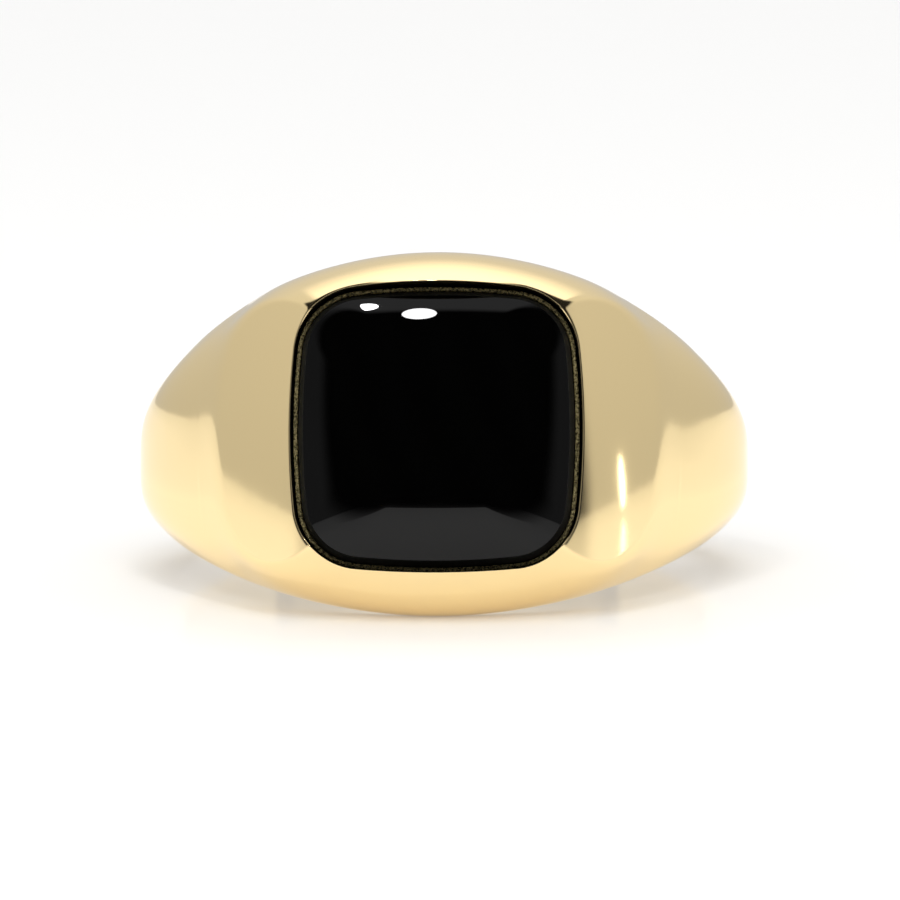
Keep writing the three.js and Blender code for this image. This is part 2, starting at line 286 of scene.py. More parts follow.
class RingForm:
    """The shape of the gold body and of the cushion outlines, from the sizes in the scene."""

    def __init__(self, scene):
        self.shank = scene.ring_shank
        self.head = scene.ring_head
        self.setting = scene.ring_setting
        shank, setting = self.shank, self.setting
        self.side_radius = shank.bore_radius + shank.edge_round
        self.dome_radius = self.side_radius + shank.side_flat
        self.bezel_outset = setting.bezel_clearance + setting.bezel_thickness
        self.recess_outset = self.bezel_outset + setting.recess_clearance
        self.recess_half = setting.stone_width / 2 + self.recess_outset
        self.head_half_width = self.recess_half + self.head.rim_width
        self.ledge_height = shank.bore_radius + setting.ledge_thickness
        self.cement_base = self.ledge_height + setting.seat_gap
        self.stone_base = self.cement_base + setting.cement_thickness + setting.seat_gap

        side_centre = setting.stone_width / 2 - setting.side_radius
        between = setting.side_radius - setting.corner_radius
        self.side_centre = side_centre
        self.corner_centre = (side_centre + math.sqrt(2 * between**2 - side_centre**2)) / 2
        self.join = math.atan2(self.corner_centre, self.corner_centre - side_centre)
        half_side = self.join * setting.side_radius
        corner = (QUARTER_TURN - 2 * self.join) * setting.corner_radius
        self.side_share = half_side / (2 * half_side + corner)

    # --- body
    def head_share(self, angle):
        """1 over the face, a half at the head's reach and next to nothing behind."""
        return 1 / (1 + (np.abs(angle) / self.head.reach) ** self.head.fall)

    def half_width(self, angle):
        """Half the width along the finger: a raised cosine of the angle, to a power."""
        share = np.minimum(1, np.abs(angle) / self.shank.taper_end)
        wave = ((1 + np.cos(share * math.pi)) / 2) ** self.shank.taper_power
        return mix(self.shank.back_half_width, self.head_half_width, wave)

    def domed_radius(self, angle, z):
        """Side wall plus a superellipse across the full width, higher and fuller over the head."""
        shank, head = self.shank, self.head
        share = self.head_share(angle)
        thickness = mix(shank.back_thickness, shank.side_thickness, 1 + np.cos(angle))
        crown = thickness - shank.edge_round - shank.side_flat + head.rise * share
        across = np.minimum(1, np.abs(z) / self.half_width(angle))
        squareness = mix(shank.squareness, head.squareness, share)
        fullness = mix(shank.fullness, head.fullness, share)
        return self.dome_radius + crown * (1 - across**squareness) ** (1 / fullness)

    def shoulder_radius(self, angle, z):
        """Radius of a wide arc that starts at the side of the recess, less a bow along the finger."""
        head = self.head
        reach = head.shoulder_radius
        centre_across = self.recess_half - reach * math.sin(head.shoulder_tilt)
        height = self.shank.bore_radius + head.shoulder_rise
        centre_up = height - reach * math.cos(head.shoulder_tilt)
        along = centre_across * np.sin(np.abs(angle)) + centre_up * np.cos(angle)
        root = np.maximum(0, along**2 - centre_across**2 - centre_up**2 + reach**2)
        return along + np.sqrt(root) - z**2 / (2 * head.shoulder_cross_radius)

    def outer_radius(self, angle, z):
        """The lower of dome and flat, with the ridge between them rounded by a parabola."""
        head = self.head
        dome = self.domed_radius(angle, z)
        flat = self.shoulder_radius(angle, z)
        softness = smoothstep(np.abs(angle), head.ridge_start, head.ridge_end)
        blend = mix(head.ridge_sharp, head.ridge_soft, softness)
        meeting = np.maximum(0, blend - np.abs(dome - flat)) / blend
        return np.minimum(dome, flat) - meeting**2 * blend / 4

    def arris(self, angle):
        return mix(self.shank.arris, self.head.arris, self.head_share(angle))

    def dome_half_width(self, angle):
        return self.half_width(angle) - self.arris(angle)

    def ridge_at(self, angle):
        """Where the dome meets the flat at an angle, as a z found by halving."""
        low = np.zeros_like(angle)
        high = self.dome_half_width(angle)
        for _ in range(40):
            middle = (low + high) / 2
            above = self.domed_radius(angle, middle) > self.shoulder_radius(angle, middle)
            low = np.where(above, middle, low)
            high = np.where(above, high, middle)
        return (low + high) / 2

    def angle_at(self, x, z):
        """Angle of the point of the outside that is seen at x, z from the face."""
        found = np.arcsin(x / self.dome_radius * 0.8)
        for _ in range(40):
            found = np.arcsin(x / self.outer_radius(found, z))
        return found

    # --- cushion outlines
    def cushion(self, place, outset):
        """x and z on a cushion outline: four wide arcs joined by four corner arcs that touch them.

        place is 0 at the middle of the +x side, 1 at the middle of the +z side and so on to 4. The outline
        is the stone's own, moved out by outset along its normal.
        """
        quarter = np.floor(place)
        edge = self.side_share
        knots = [0, edge, 1 - edge, 1]
        turns = [0, self.join, QUARTER_TURN - self.join, QUARTER_TURN]
        turn = np.interp(place - quarter, knots, turns)
        first = turn <= self.join
        last = turn >= QUARTER_TURN - self.join
        radius = np.where(first | last, self.setting.side_radius, self.setting.corner_radius)
        centre_x = np.where(first, self.side_centre, np.where(last, 0, self.corner_centre))
        centre_z = np.where(last, self.side_centre, np.where(first, 0, self.corner_centre))
        x = centre_x + (radius + outset) * np.cos(turn)
        z = centre_z + (radius + outset) * np.sin(turn)
        swing = quarter * QUARTER_TURN
        return x * np.cos(swing) - z * np.sin(swing), x * np.sin(swing) + z * np.cos(swing)


class Skin:
    """Points and faces of one closed surface, gathered band by band."""

    def __init__(self):
        self.points = []
        self.faces = []
        self.count = 0

    def add(self, x, y, z):
        """Adds an array of points and returns their numbers in the same shape."""
        x, y, z = np.broadcast_arrays(x, y, z)
        self.points.append(np.stack([x, y, z], -1).reshape(-1, 3))
        numbers = np.arange(x.size).reshape(x.shape) + self.count
        self.count += x.size
        return numbers

    def grid(self, numbers, leave=None):
        """Quads of a grid that closes on itself both ways, except the cells marked in leave."""
        beside = np.roll(numbers, -1, axis=0)
        above = np.roll(numbers, -1, axis=1)
        across = np.roll(beside, -1, axis=1)
        quads = np.stack([numbers, beside, across, above], -1)
        self.faces.append(quads.reshape(-1, 4) if leave is None else quads[~leave])

    def bands(self, loops):
        """Quads between each closed loop and the next, with the loops as rows."""
        for outer, inner in zip(loops[:-1], loops[1:]):
            quads = [outer, np.roll(outer, -1), np.roll(inner, -1), inner]
            self.faces.append(np.stack(quads, -1))

    def join(self, outer, inner, at_outer, at_inner):
        """Triangles between two closed loops with different counts, in order of their places."""
        behind = np.searchsorted(at_inner, np.append(at_outer[1:], np.inf)) - 1
        self.faces.append(np.stack([outer, np.roll(outer, -1), inner[behind]], -1))
        ahead = np.append(np.searchsorted(at_outer, at_inner[1:], side="right") - 1, 0)
        self.faces.append(np.stack([outer[ahead], np.roll(inner, -1), inner], -1))

    def fan(self, loop, x, y, z):
        """Triangles from a closed loop to one point."""
        middle = self.add(x, y, z)
        self.faces.append(np.stack([loop, np.roll(loop, -1), np.full_like(loop, middle)], -1))

    def mesh(self, name, second=None):
        """The mesh, laid down, without unused points. Faces from part second on take material 1."""
        points = np.concatenate(self.points)
        used = np.unique(np.concatenate([faces.ravel() for faces in self.faces]))
        number = np.zeros(len(points), int)
        number[used] = np.arange(len(used))
        faces = [face for part in self.faces for face in number[part].tolist()]
        mesh = bpy.data.meshes.new(name)
        mesh.from_pydata(laid(points[used]).tolist(), [], faces)
        mesh.validate()
        mesh.polygons.foreach_set("use_smooth", np.ones(len(mesh.polygons), bool))
        first = len(self.faces) if second is None else second
        material = [np.full(len(part), at >= first) for at, part in enumerate(self.faces)]
        mesh.polygons.foreach_set("material_index", np.concatenate(material).astype(np.int32))
        return mesh


def resting_frame(scene):
    """The ring's own axes and origin where it lies, from the shank's two flat sides in the record."""
    mounts = {mount["name"]: mount for mount in frame["record"]["mounts"]}
    low = Vector(mounts["shank_side_low"]["pos_m"])
    high = Vector(mounts["shank_side_high"]["pos_m"])
    across = Vector((1, 0, 0))
    finger = Vector(mounts["shank_side_high"]["axis"]).normalized()
    back = finger.cross(across)
    shank = scene.ring_shank
    reach = shank.bore_radius + shank.edge_round + shank.side_flat / 2
    return np.array([across, back, finger]), np.array((low + high) / 2 - back * reach)


def laid(points):
    axes, origin = resting_frame(bpy.context.scene)
    return points @ axes + origin


# --- gold body
def body_angles():
    """Angles of the sections, from minus to plus a half turn, close together over the head."""
    head = np.arange(-HEAD_END, HEAD_END + HEAD_STEP / 2, HEAD_STEP)
    steps = round((2 * math.pi - 2 * HEAD_END) / BACK_STEP)
    back = np.linspace(HEAD_END, 2 * math.pi - HEAD_END, steps + 1)
    back = np.where(back > math.pi, back - 2 * math.pi, back)
    return np.concatenate([head, back[1:-1]])


class BodySurface:
    """The outside as a function of angle and share, with the ridge on one line of equal share.

    A share runs from -1 to 1 across the section. z is the sine of a quarter turn times the height on the
    section, and that height is the share itself, stretched so that the ridge always lies at ridge_share.
    """

    def __init__(self, form):
        self.form = form
        place = np.linspace(0, 1, OUTLINE_SAMPLES)
        x, z = form.cushion(place, form.recess_outset + form.head.mouth_round)
        found = form.angle_at(x, z)
        on_dome = form.domed_radius(found, z) < form.shoulder_radius(found, z)
        exit_row = np.argmax(on_dome)
        self.mouth_place = place
        self.ridge_place = place[exit_row]
        self.ridge_angle = found[exit_row]
        self.ridge_share = self.section_height(found, z)[exit_row]
        self.mouth_angle = found
        self.mouth_share = self.share_at(found, z)

    def section_height(self, angle, z):
        return np.arcsin(np.clip(z / self.form.dome_half_width(angle), -1, 1)) / QUARTER_TURN

    def ridge_height(self, angle):
        """Height of the ridge on the section, let go where the ridge is soft."""
        size = np.minimum(np.maximum(np.abs(angle), self.ridge_angle), self.form.head.ridge_end)
        exact = self.section_height(size, self.form.ridge_at(size))
        head = self.form.head
        loose = smoothstep(np.abs(angle), head.reach, head.ridge_end)
        return mix(exact, self.ridge_share, loose)

    def share_at(self, angle, z):
        height = self.section_height(angle, np.abs(z))
        ridge = self.ridge_height(angle)
        inside = height * self.ridge_share / ridge
        outside = 1 - (1 - height) * (1 - self.ridge_share) / (1 - ridge)
        return np.sign(z) * np.where(height < ridge, inside, outside)

    def z_at(self, angle, share):
        size = np.abs(share)
        ridge = self.ridge_height(angle)
        inside = size * ridge / self.ridge_share
        outside = 1 - (1 - size) * (1 - ridge) / (1 - self.ridge_share)
        height = np.where(size < self.ridge_share, inside, outside)
        return np.sign(share) * np.sin(height * QUARTER_TURN) * self.form.dome_half_width(angle)

    def point(self, angle, share):
        z = self.z_at(angle, share)
        radius = self.form.outer_radius(angle, z)
        return radius * np.sin(angle), -radius * np.cos(angle), z

    def rows(self):
        """Shares of the rows, crowded towards the ridge on both sides."""
        inner = np.linspace(0, 1, ROWS_INSIDE_RIDGE + 1) ** ROW_CROWDING
        outer = np.linspace(0, 1, ROWS_OUTSIDE_RIDGE + 1) ** ROW_CROWDING
        below = self.ridge_share * (1 - inner[::-1])
        above = mix(self.ridge_share, 1, outer[1:])
        half = np.concatenate([below, above])
        return np.concatenate([-half[:0:-1], half])


def ring_sections(form, surface, angles, rows):
    """Radius and z of every section: outside, softened corner, side wall, rounding and finger hole."""
    angles = angles[:, None]
    outside_z = surface.z_at(angles, rows[None, :])
    outside_r = form.outer_radius(angles, outside_z)

    width = form.half_width(angles)
    corner_r = form.dome_radius
    end_z = outside_z[:, -1:]
    end_r = outside_r[:, -1:]
    turn = np.linspace(0, 1, ROWS_IN_ARRIS + 1)[None, 1:]
    weights = [(1 - turn) ** 2, 2 * turn * (1 - turn), turn**2]
    arris_z = weights[0] * end_z + (weights[1] + weights[2]) * width
    wall_r = corner_r - form.arris(angles)
    arris_r = weights[0] * end_r + weights[1] * corner_r + weights[2] * wall_r

    turn = np.linspace(0, QUARTER_TURN, ROWS_IN_ROUNDING)[None, :]
    edge = form.shank.edge_round
    edge_z = width - edge * (1 - np.cos(turn))
    edge_r = form.side_radius - edge * np.sin(turn) + 0 * width

    share = np.linspace(1, -1, ROWS_IN_BORE + 1)[None, 1:-1]
    bore_z = (width - edge) * share
    bore_r = form.shank.bore_radius + 0 * bore_z

    radius = [outside_r, arris_r, edge_r, bore_r, edge_r[:, ::-1], arris_r[:, ::-1]]
    z = [outside_z, arris_z, edge_z, bore_z, -edge_z[:, ::-1], -arris_z[:, ::-1]]
    return np.concatenate(radius, axis=1), np.concatenate(z, axis=1)


def frame_of_hole(numbers, columns, rows):
    """Numbers round a rectangle of the grid, anticlockwise from its low corner at high angles."""
    (left, right), (low, high) = columns, rows
    upwards = 1 if high > low else -1
    sides = [
        numbers[right, low:high:upwards],
        numbers[right:left:-1, high],
        numbers[left, high:low:-upwards],
        numbers[left:right, low],
    ]
    return np.concatenate(sides)


def match_places(angle, share, half_angle, half_share, anchors):
    """Places on an outline for points round a rectangle: level with it, but fanned at the corners.

    anchors holds places, the outline's angles and shares there, and the places where the levels end.
    """
    place, outline_angle, outline_share, side_end, top_start = anchors
    corner = (side_end + top_start) / 2
    side = place <= side_end
    top = place >= top_start
    on_side = np.abs(angle) >= half_angle * (1 - 1e-9)
    side_place = np.interp(
        np.abs(share),
        np.append(outline_share[side], half_share),
        np.append(place[side], corner),
    )
    top_place = np.interp(
        np.abs(angle),
        np.append(outline_angle[top][::-1], half_angle),
        np.append(place[top][::-1], corner),
    )
    quarter = np.where(on_side, side_place, top_place)
    right, up = angle > 0, share > 0
    mirrored = np.where(right, 4 - quarter, 2 + quarter)
    around = np.where(up, np.where(right, quarter, 2 - quarter), mirrored)
    return np.round(around, 9) % 4


def body_mesh(form):
    """The whole gold body as one closed skin."""
    surface = BodySurface(form)
    angles = body_angles()
    rows = surface.rows()
    radius, z = ring_sections(form, surface, angles, rows)
    skin = Skin()
    numbers = skin.add(
        radius * np.sin(angles)[:, None], -radius * np.cos(angles)[:, None], z
    )

    columns = np.flatnonzero(np.abs(angles) <= HOLE_HALF_ANGLE)[[0, -1]]
    outside = np.flatnonzero(np.abs(rows) <= HOLE_HALF_SHARE)[[0, -1]]
    bore_start = len(rows) + ROWS_IN_ARRIS + ROWS_IN_ROUNDING
    bore_shares = np.linspace(1, -1, ROWS_IN_BORE + 1)[1:-1]
    inside = bore_start + np.flatnonzero(np.abs(bore_shares) <= BORE_HOLE_SHARE)[[0, -1]]

    leave = np.zeros(numbers.shape, bool)
    leave[columns[0] : columns[1], outside[0] : outside[1]] = True
    leave[columns[0] : columns[1], inside[0] : inside[1]] = True
    skin.grid(numbers, leave)

    # Patch from the grid to the mouth of the recess, all of it on the outside surface.
    loop = frame_of_hole(numbers, columns, outside)
    column, row = np.unravel_index(loop, numbers.shape)
    loop_angle, loop_share = angles[column], rows[row]
    half_angle, half_share = angles[columns[1]], rows[outside[1]]
    anchors = (
        surface.mouth_place,
        surface.mouth_angle,
        surface.mouth_share,
        surface.ridge_place,
        0.8,
    )
    place = match_places(loop_angle, loop_share, half_angle, half_share, anchors)
    round_over = form.head.mouth_round
    x, z = form.cushion(place, form.recess_outset + round_over)
    mouth_angle = form.angle_at(x, z)
    mouth_share = surface.share_at(mouth_angle, z)
    share = np.linspace(0, 1, PATCH_RINGS + 1)[1:, None]
    patch = surface.point(
        mix(loop_angle, mouth_angle, share), mix(loop_share, mouth_share, share)
    )
    loops = [loop, *skin.add(*patch)]

    # Rounded edge of the mouth, wall of the recess and the ledge that the setting stands on.
    turn = np.linspace(0, QUARTER_TURN, 6)[1:, None]
    x, z = form.cushion(place[None, :], form.recess_outset + round_over * (1 - np.sin(turn)))
    over = form.angle_at(x, z)
    height = form.outer_radius(over, z) * np.cos(over) - round_over * (1 - np.cos(turn))
    loops += [*skin.add(x, -height, z)]
    share = np.linspace(0, 1, 9)[1:, None]
    wall_height = mix(height[-1], form.ledge_height, share)
    loops += [*skin.add(x[-1], -wall_height, z[-1])]
    skin.bands(loops[:-8])

    # Gallery window behind the stone, up to the finger hole.
    hole = frame_of_hole(numbers, columns, inside[::-1])
    column, row = np.unravel_index(hole, numbers.shape)
    hole_angle, hole_share = angles[column], bore_shares[row - bore_start]
    bore = form.shank.bore_radius
    window = form.recess_outset - form.setting.ledge_width
    samples = np.linspace(0, 1, OUTLINE_SAMPLES)
    x, z = form.cushion(samples, window)
    sample_angle = np.arcsin(x / bore)
    bore_half = form.half_width(sample_angle) - form.shank.edge_round
    anchors = (samples, sample_angle, z / bore_half, 0.35, 0.65)
    half_share = np.abs(bore_shares[inside[0] - bore_start])
    window_place = match_places(hole_angle, hole_share, angles[columns[1]], half_share, anchors)
    x, z = form.cushion(window_place, window)
    window_angle = np.arcsin(x / bore)
    window_share = z / (form.half_width(window_angle) - form.shank.edge_round)
    share = np.linspace(0, 1, 7)[1:, None]
    patch_angle = mix(hole_angle, window_angle, share)
    patch_z = mix(hole_share, window_share, share)
    patch_z = patch_z * (form.half_width(patch_angle) - form.shank.edge_round)
    patch = [bore * np.sin(patch_angle), -bore * np.cos(patch_angle), patch_z]
    window_loops = [hole, *skin.add(*patch)]
    share = np.linspace(0, 1, 5)[1:, None]
    window_height = mix(bore * np.cos(window_angle), form.ledge_height, share)
    window_loops += [*skin.add(x, -window_height, z)]
    skin.bands([loop[::-1] for loop in window_loops])

    # The wall of the recess, and the ledge that joins it to the window.
    # From here on the faces take the darkened recess gold, a painted shade.
    recess = len(skin.faces)
    skin.bands(loops[-9:])
    first, start = np.argmin(place), np.argmin(window_place)
    outer, outer_place = np.roll(loops[-1], -first), np.roll(place, -first)
    inner, inner_place = np.roll(window_loops[-1], -start), np.roll(window_place, -start)
    skin.join(outer, inner, outer_place, inner_place)
    return skin.mesh("ring_body_polished", recess)


# --- setting
def stone_mesh(form):
    """Girdle, ground bevel and a dome, from the cushion outline at the girdle to a circle at the middle.

    The dome falls from its middle as a power of the share of the way out to the bevel.
    """
    setting = form.setting
    place = np.linspace(0, 4, STONE_STEPS_ROUND, endpoint=False)
    girdle_top = form.stone_base + setting.girdle_height
    skin = Skin()
    x, z = form.cushion(place, 0)
    share = np.linspace(0, 1, 5)[:, None]
    loops = [*skin.add(x, -mix(form.stone_base, girdle_top, share), z)]
    outset = -setting.bevel_width * np.linspace(BEVEL_START, 1, 4)[:, None]
    x, z = form.cushion(place[None, :], outset)
    bevel_height = girdle_top + setting.bevel_height * np.linspace(BEVEL_START, 1, 4)[:, None]
    loops += [*skin.add(x, -bevel_height, z)]
    x, z = x[-1], z[-1]
    share = np.linspace(1, 0, STONE_STEPS_UP)[1:-1, None]
    reach = np.hypot(x, z)
    scale = share * mix(reach.mean() / reach, 1, smoothstep(share, 0, DOME_ROUND_SHARE))
    rise = setting.crown_height * (1 - share**setting.crown_power)
    loops += [*skin.add(x * scale, -(bevel_height[-1] + rise), z * scale)]
    skin.bands(loops)
    skin.fan(loops[-1], 0, -(bevel_height[-1, 0] + setting.crown_height), 0)
    skin.fan(loops[0][::-1], 0, -form.stone_base, 0)
    return skin.mesh("onyx_cushion")


def grain(seed, count, smooth):
    """A closed row of heights, -1 to 1: seeded random numbers, averaged with neighbours."""
    heights = np.random.default_rng(seed).uniform(-1, 1, count)
    for _ in range(smooth):
        heights = (np.roll(heights, 1) + 2 * heights + np.roll(heights, -1)) / 4
    return heights / np.abs(heights).max()


def bezel_mesh(form):
    """The strip round the stone: an upright band whose filed top edge wanders up, down, in and out."""
    setting = form.setting
    place = np.linspace(0, 4, BEZEL_STEPS_ROUND, endpoint=False)
    base = form.ledge_height + setting.seat_gap
    lip = setting.bezel_thickness / 2
    uneven = grain(3, len(place), 1) * 0.6 + grain(4, len(place), 6) * 0.4
    sideways = grain(5, len(place), 2)
    turn = np.linspace(0, math.pi, 9)[:, None]
    over = np.sin(turn)
    outset = setting.bezel_clearance + lip * (1 - np.cos(turn))
    outset = outset + BEZEL_UNEVEN_SIDE * sideways * over
    top = form.stone_base + setting.girdle_height + setting.bezel_lip
    height = top - lip - BEZEL_UNEVEN_TOP * (1 - uneven) * (0.35 + over) + lip * over
    skin = Skin()
    x, z = form.cushion(place[None, :], outset)
    top = [*skin.add(x, -height, z)]
    x, z = form.cushion(place, setting.bezel_clearance)
    inner = [*skin.add(x, -mix(base, height[0], np.linspace(0, 0.9, 4)[:, None]), z)]
    x, z = form.cushion(place, form.bezel_outset)
    outer = [*skin.add(x, -mix(height[-1], base, np.linspace(0.1, 1, 4)[:, None]), z)]
    loops = inner + top + outer
    skin.bands([*loops, loops[0]])
    return skin.mesh("bezel_strip")


def cement_mesh(form):
    """The bed between ledge and stone, with a rounded, squeezed-out outer and inner edge."""
    setting = form.setting
    place = np.linspace(0, 4, CEMENT_STEPS_ROUND, endpoint=False)
    outer = -setting.cement_inset
    inner = form.recess_outset - setting.ledge_width + setting.cement_inset
    half = setting.cement_thickness / 2
    squeeze = half * (0.5 + 0.5 * grain(8, len(place), 12))
    turn = np.linspace(-QUARTER_TURN, QUARTER_TURN, 7)[:, None]
    middle = form.cement_base + half
    skin = Skin()
    x, z = form.cushion(place[None, :], outer - squeeze * (1 - np.cos(turn)))
    loops = [*skin.add(x, -(middle + half * np.sin(turn)), z)]
    x, z = form.cushion(place[None, :], inner + squeeze * (1 - np.cos(turn)))
    loops += [*skin.add(x, -(middle - half * np.sin(turn)), z)]
    skin.bands([*loops, loops[0]])
    return skin.mesh("cement_fill")


# --- materials
def new_material(name, **settings):
    """A material, its Principled shader with these inputs set, and its node tree."""
    material = bpy.data.materials.new(name)
    material.use_nodes = True
    shader = material.node_tree.nodes["Principled BSDF"]
    for socket, value in settings.items():
        shader.inputs[socket.replace("_", " ")].default_value = value
    return material, shader, material.node_tree


def toned(shade, share=1):
    """A colour for a socket, darkened to a share of itself."""
    return (*[part * share for part in shade], 1)


def add(tree, kind, links=None, **settings):
    """Adds a node. settings set its properties or its inputs by name; links join inputs or set them."""
    node = tree.nodes.new(kind)
    for name, value in settings.items():
        if hasattr(node, name):
            setattr(node, name, value)
        else:
            node.inputs[name.replace("_", " ")].default_value = value
    for name, source in (links or {}).items():
        if isinstance(source, (int, float)):
            node.inputs[name].default_value = source
        else:
            tree.links.new(source, node.inputs[name])
    return node


def polished_gold(finish):
    """Cast 14 karat yellow gold, buffed on a felt wheel.

    The buff leaves a mirror with a very slight orange peel, which bends long reflections, and hairlines
    from wear that only show as a faint change of gloss.
    """
    material, shader, tree = new_material(
        "polished_yellow_gold", Base_Color=toned(finish.gold), Metallic=1
    )
    place = add(tree, "ShaderNodeTexCoord").outputs["Object"]
    wear = add(tree, "ShaderNodeTexNoise", {"Vector": place}, Scale=1 / WEAR, Detail=5, Roughness=0.6)
    gloss = add(
        tree,
        "ShaderNodeMapRange",
        {"Value": wear.outputs["Fac"]},
        From_Min=0.3,
        From_Max=0.7,
        To_Min=finish.gold_roughness * 0.8,
        To_Max=finish.gold_roughness * 1.25,
    )
    tree.links.new(gloss.outputs["Result"], shader.inputs["Roughness"])
    peel = add(tree, "ShaderNodeTexNoise", {"Vector": place}, Scale=1 / PEEL, Detail=2)
    height = {"Height": peel.outputs["Fac"]}
    bump = add(tree, "ShaderNodeBump", height, Strength=1, Distance=PEEL_HEIGHT)
    tree.links.new(bump.outputs["Normal"], shader.inputs["Normal"])
    return material


def shaded_recess_gold(finish):
    """The recess wall and ledge: dull cast gold with the investment's fine grain, its colour darkened as
    painted shade for the shadow inside the recess.
    """
    material, shader, tree = new_material("recess_gold_painted_shade", Metallic=1, Roughness=0.5)
    place = add(tree, "ShaderNodeTexCoord").outputs["Object"]
    sand = add(tree, "ShaderNodeTexNoise", {"Vector": place}, Scale=1 / INVESTMENT_GRAIN, Detail=3)
    ramp = add(tree, "ShaderNodeValToRGB", {"Fac": sand.outputs["Fac"]})
    for stop, share in zip(ramp.color_ramp.elements, (0.4, 1)):
        stop.color = toned(finish.shaded_recess_gold, share)
    tree.links.new(ramp.outputs["Color"], shader.inputs["Base Color"])
    return material


def filed_gold(finish):
    """The bezel's edge, pushed over the stone and filed: torn, grainy gold that glints in places, its colour
    darkened to nearly black in the low spots of the tears as painted shade.
    """
    material, shader, tree = new_material("filed_gold", Metallic=1, Roughness=0.42)
    place = {"Vector": add(tree, "ShaderNodeTexCoord").outputs["Object"]}
    torn = add(tree, "ShaderNodeTexNoise", place, Scale=1 / FILE_MARK, Detail=3, Roughness=0.75)
    ramp = add(tree, "ShaderNodeValToRGB", {"Fac": torn.outputs["Fac"]})
    # Painted shade: the colour falls to nearly black where the file marks are low.
    for stop, position, share in zip(ramp.color_ramp.elements, (0.38, 0.58), (0.06, 1)):
        stop.position = position
        stop.color = toned(finish.cut_gold, share)
    tree.links.new(ramp.outputs["Color"], shader.inputs["Base Color"])
    height = {"Height": torn.outputs["Fac"]}
    bump = add(tree, "ShaderNodeBump", height, Strength=1, Distance=FILE_MARK)
    tree.links.new(bump.outputs["Normal"], shader.inputs["Normal"])
    return material


def polished_onyx(finish):
    """Dyed black onyx, polished with fine oxide: glassy black, its bands a hint under the gloss."""
    material, shader, tree = new_material(
        "polished_onyx", Roughness=finish.onyx_roughness, IOR=ONYX_IOR, Specular_IOR_Level=0.26
    )
    place = add(tree, "ShaderNodeTexCoord").outputs["Object"]
    turned = add(tree, "ShaderNodeMapping", {"Vector": place}, Rotation=(0.2, 0.4, 0.3))
    across = {"Vector": turned.outputs["Vector"]}
    bands = add(tree, "ShaderNodeTexWave", across, Scale=1 / ONYX_BAND, Distortion=3, Detail=3)
    ramp = add(tree, "ShaderNodeValToRGB", {"Fac": bands.outputs["Fac"]})
    for stop, share in zip(ramp.color_ramp.elements, (0.75, 1)):
        stop.color = toned(finish.onyx, share)
    tree.links.new(ramp.outputs["Color"], shader.inputs["Base Color"])
    return material


def ground_onyx(finish):
    """The girdle and bevel as the lapidary's wheel left them: the same black, but matt."""
    material, shader, tree = new_material(
        "ground_onyx", Base_Color=toned(finish.ground_onyx), IOR=ONYX_IOR, Specular_IOR_Level=0.4
    )
    place = add(tree, "ShaderNodeTexCoord").outputs["Object"]
    grit = add(tree, "ShaderNodeTexNoise", {"Vector": place}, Scale=1 / WHEEL_GRIT, Detail=3)
    rough = add(tree, "ShaderNodeMapRange", {"Value": grit.outputs["Fac"]}, To_Min=0.3, To_Max=0.55)
    tree.links.new(rough.outputs["Result"], shader.inputs["Roughness"])
    return material


def set_cement(finish):
    """Epoxy cement, mixed dark and left matt with fine filler grains."""
    material, shader, tree = new_material("epoxy_cement", Roughness=0.6)
    place = add(tree, "ShaderNodeTexCoord").outputs["Object"]
    grains = add(tree, "ShaderNodeTexNoise", {"Vector": place}, Scale=1 / FILLER_GRAIN, Detail=4)
    ramp = add(tree, "ShaderNodeValToRGB", {"Fac": grains.outputs["Fac"]})
    for stop, share in zip(ramp.color_ramp.elements, (0.6, 1)):
        stop.color = toned(finish.cement, share)
    tree.links.new(ramp.outputs["Color"], shader.inputs["Base Color"])
    height = {"Height": grains.outputs["Fac"]}
    bump = add(tree, "ShaderNodeBump", height, Strength=0.5, Distance=0.1 * FILLER_GRAIN)
    tree.links.new(bump.outputs["Normal"], shader.inputs["Normal"])
    return material


def acrylic(finish):
    """White acrylic sheet with a painted glow that rises away from the ring and lightens its shadows there,
    with a faint image of what stands on it.
    """
    material, shader, tree = new_material(
        "white_floor_painted_glow",
        Base_Color=toned(finish.floor),
        Emission_Color=(1, 1, 1, 1),
        Roughness=0.12,
        IOR=1.49,
        Specular_IOR_Level=0.02,
    )
    place = add(tree, "ShaderNodeTexCoord").outputs["Object"]
    outward = add(tree, "ShaderNodeVectorMath", {0: place}, operation="LENGTH")
    # Painted light: the sheet glows of itself, more with distance from the ring.
    glow = add(
        tree,
        "ShaderNodeMapRange",
        {"Value": outward.outputs["Value"]},
        interpolation_type="SMOOTHSTEP",
        From_Min=GLOW_START,
        From_Max=GLOW_END,
        To_Max=finish.floor_painted_glow,
    )
    tree.links.new(glow.outputs[0], shader.inputs["Emission Strength"])
    return material


def dark_reflection_sheet():
    """A black sheet in the opening of the tent, fading out towards its edge; it is seen only in reflections,
    a painted dark reflection.
    """
    material, shader, tree = new_material(
        "dark_sheet_seen_in_reflections", Base_Color=(0.004, 0.004, 0.004, 1), Roughness=1, Specular_IOR_Level=0
    )
    place = add(
        tree,
        "ShaderNodeMapping",
        {"Vector": add(tree, "ShaderNodeTexCoord").outputs["Object"]},
        Location=(0, 0, -FRONT_MIDDLE / FRONT_HALF_HEIGHT),
        Scale=(1 / FRONT_HALF_WIDTH, 0, 1 / FRONT_HALF_HEIGHT),
    )
    outward = add(tree, "ShaderNodeVectorMath", {0: place.outputs[0]}, operation="LENGTH")
    thin = add(
        tree,
        "ShaderNodeMapRange",
        {"Value": outward.outputs["Value"]},
        interpolation_type="SMOOTHSTEP",
        From_Min=FRONT_FADE,
        From_Max=1,
    )
    clear = add(tree, "ShaderNodeBsdfTransparent")
    parts = {0: thin.outputs[0], 1: shader.outputs[0], 2: clear.outputs[0]}
    mixed = add(tree, "ShaderNodeMixShader", parts)
    tree.links.new(mixed.outputs[0], tree.nodes["Material Output"].inputs["Surface"])
    return material


